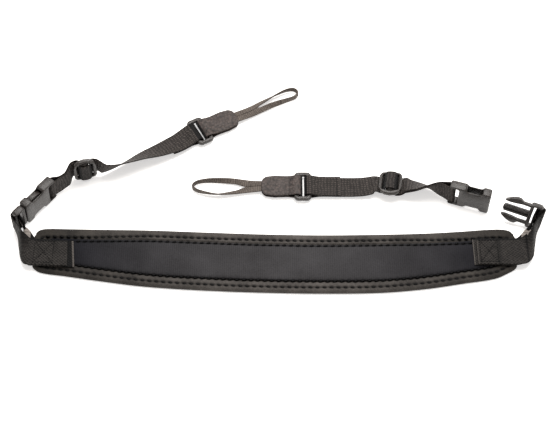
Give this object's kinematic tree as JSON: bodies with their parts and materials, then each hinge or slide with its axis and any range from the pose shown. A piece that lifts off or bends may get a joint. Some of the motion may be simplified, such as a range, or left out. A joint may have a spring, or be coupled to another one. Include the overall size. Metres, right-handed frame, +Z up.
{
  "type": "camera neck strap",
  "caption": "Padded neck strap with a webbing loop and side-release buckle at each end; webbing connectors with slider, ring, leather tab and thin camera loop.",
  "frame": {"origin": "on the surface the strap lies on, at the middle of its outline without the two thin camera loops", "axes": "+X along the pad towards the open buckle, +Y from the pad towards the two connectors, +Z up from the surface"},
  "size_m": [0.4351, 0.2085, 0.0284],
  "materials": {
    "neoprene": "jersey-faced neoprene foam, matt",
    "knit_panel": "fine warp knit over foam, matt",
    "nylon_webbing": "woven nylon with ribs across, slight sheen",
    "moulded_plastic": "moulded acetal, fine satin grain",
    "leather": "corrected-grain leather, pebbled, semi-matt",
    "loop_tape": "tightly woven flat nylon tape"
  },
  "bodies": {
    "root": {"neck_pad": "neoprene", "centre_panel": "knit_panel", "end_webbing_left": "nylon_webbing", "end_webbing_right": "nylon_webbing", "male_buckle_left": "moulded_plastic", "male_buckle_right": "moulded_plastic", "female_buckle_left": "moulded_plastic", "female_buckle_right": "moulded_plastic", "connector_webbing_left": "nylon_webbing", "connector_webbing_right": "nylon_webbing", "slider_left": "moulded_plastic", "slider_right": "moulded_plastic", "tab_ring_left": "moulded_plastic", "tab_ring_right": "moulded_plastic", "leather_tab_left": "leather", "leather_tab_right": "leather", "loop_tape_left": "loop_tape", "loop_tape_right": "loop_tape"}
  },
  "joints": []
}
